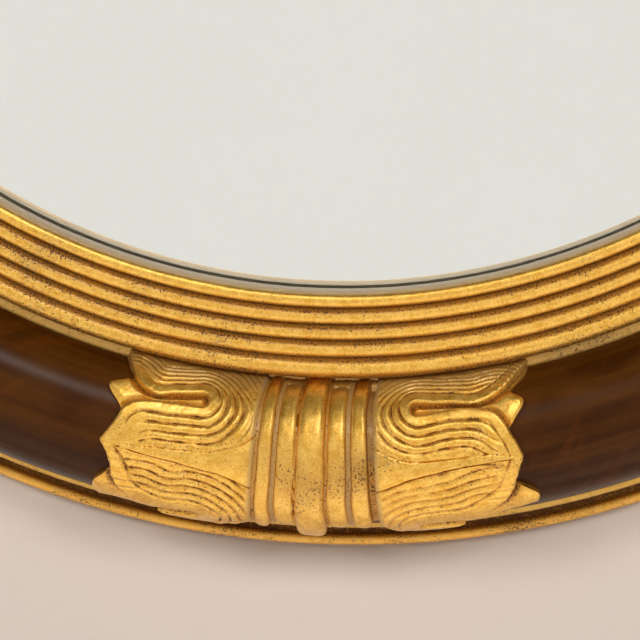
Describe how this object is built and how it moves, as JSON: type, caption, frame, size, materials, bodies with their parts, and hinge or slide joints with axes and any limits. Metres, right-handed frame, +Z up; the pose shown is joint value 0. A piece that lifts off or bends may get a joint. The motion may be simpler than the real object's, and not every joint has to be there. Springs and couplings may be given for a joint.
{
  "type": "convex wall mirror",
  "caption": "Round convex wall mirror with a gilt reeded slip, a half-round mahogany roll, carved gilt leaf clasps and a gilt beaded rim, hung from rings at the back.",
  "frame": {"origin": "centre of the mirror on the plane of the wall that its rim stands on", "axes": "+Z up, +X to the right of someone who looks into the mirror, +Y back into the wall; the front faces -Y"},
  "size_m": [0.8998, 0.071, 0.8998],
  "materials": {
    "gilded_wood": "water gilding over red bole, rubbed, with dusty recesses",
    "mahogany": "dark figured mahogany, wax polished",
    "pine": "bare sawn pine",
    "beech": "bare beech",
    "backboard_ply": "bare birch-faced board, aged",
    "clear_glass": "polished convex glass",
    "silvering": "silver coating on the back of the glass",
    "brass": "aged brass",
    "steel": "zinc-plated steel"
  },
  "bodies": {
    "frame": {"carcase_segment_1": "pine", "carcase_segment_2": "pine", "carcase_segment_3": "pine", "carcase_segment_4": "pine", "carcase_segment_5": "pine", "carcase_segment_6": "pine", "carcase_segment_7": "pine", "carcase_segment_8": "pine", "roll_segment_1": "mahogany", "roll_segment_2": "mahogany", "roll_segment_3": "mahogany", "roll_segment_4": "mahogany", "clasp_bottom_collar": "gilded_wood", "clasp_left_collar": "gilded_wood", "clasp_top_collar": "gilded_wood", "clasp_right_collar": "gilded_wood", "clasp_bottom_leaf_a": "gilded_wood", "clasp_bottom_leaf_b": "gilded_wood", "clasp_left_leaf_a": "gilded_wood", "clasp_left_leaf_b": "gilded_wood", "clasp_top_leaf_a": "gilded_wood", "clasp_top_leaf_b": "gilded_wood", "clasp_right_leaf_a": "gilded_wood", "clasp_right_leaf_b": "gilded_wood", "reeded_slip": "gilded_wood", "inner_fillet": "gilded_wood", "outer_fillet": "gilded_wood", "outer_rim": "gilded_wood", "carcase_splines": "beech", "roll_tongues": "beech", "clasp_dowels": "beech", "glazing_blocks": "pine", "convex_glass": "clear_glass", "silvering": "silvering", "backboard": "backboard_ply", "turn_button_screws": "brass", "hanger_strap_left": "steel", "hanger_strap_right": "steel", "hanger_screws": "steel"},
    "turn_button_1": {"turn_button_1": "brass"},
    "turn_button_2": {"turn_button_2": "brass"},
    "turn_button_3": {"turn_button_3": "brass"},
    "turn_button_4": {"turn_button_4": "brass"},
    "turn_button_5": {"turn_button_5": "brass"},
    "turn_button_6": {"turn_button_6": "brass"},
    "turn_button_7": {"turn_button_7": "brass"},
    "turn_button_8": {"turn_button_8": "brass"},
    "d_ring_left": {"d_ring_left": "steel"},
    "d_ring_right": {"d_ring_right": "steel"}
  },
  "joints": [
    {"name": "turn_button_1_pivot", "type": "hinge", "parent": "frame", "child": "turn_button_1", "pos_m": [0.3634, -0.0079, 0], "axis": [0, 1, 0], "continuous": true},
    {"name": "turn_button_2_pivot", "type": "hinge", "parent": "frame", "child": "turn_button_2", "pos_m": [0.25696, -0.0079, -0.25696], "axis": [0, 1, 0], "continuous": true},
    {"name": "turn_button_3_pivot", "type": "hinge", "parent": "frame", "child": "turn_button_3", "pos_m": [0, -0.0079, -0.3634], "axis": [0, 1, 0], "continuous": true},
    {"name": "turn_button_4_pivot", "type": "hinge", "parent": "frame", "child": "turn_button_4", "pos_m": [-0.25696, -0.0079, -0.25696], "axis": [0, 1, 0], "continuous": true},
    {"name": "turn_button_5_pivot", "type": "hinge", "parent": "frame", "child": "turn_button_5", "pos_m": [-0.3634, -0.0079, 0], "axis": [0, 1, 0], "continuous": true},
    {"name": "turn_button_6_pivot", "type": "hinge", "parent": "frame", "child": "turn_button_6", "pos_m": [-0.25696, -0.0079, 0.25696], "axis": [0, 1, 0], "continuous": true},
    {"name": "turn_button_7_pivot", "type": "hinge", "parent": "frame", "child": "turn_button_7", "pos_m": [0, -0.0079, 0.3634], "axis": [0, 1, 0], "continuous": true},
    {"name": "turn_button_8_pivot", "type": "hinge", "parent": "frame", "child": "turn_button_8", "pos_m": [0.25696, -0.0079, 0.25696], "axis": [0, 1, 0], "continuous": true},
    {"name": "d_ring_left_swing", "type": "hinge", "parent": "frame", "child": "d_ring_left", "pos_m": [-0.21462, -0.00512, 0.33688], "axis": [1, 0, 0], "range_deg": [0, 180]},
    {"name": "d_ring_right_swing", "type": "hinge", "parent": "frame", "child": "d_ring_right", "pos_m": [0.21462, -0.00512, 0.33688], "axis": [1, 0, 0], "range_deg": [0, 180]}
  ]
}
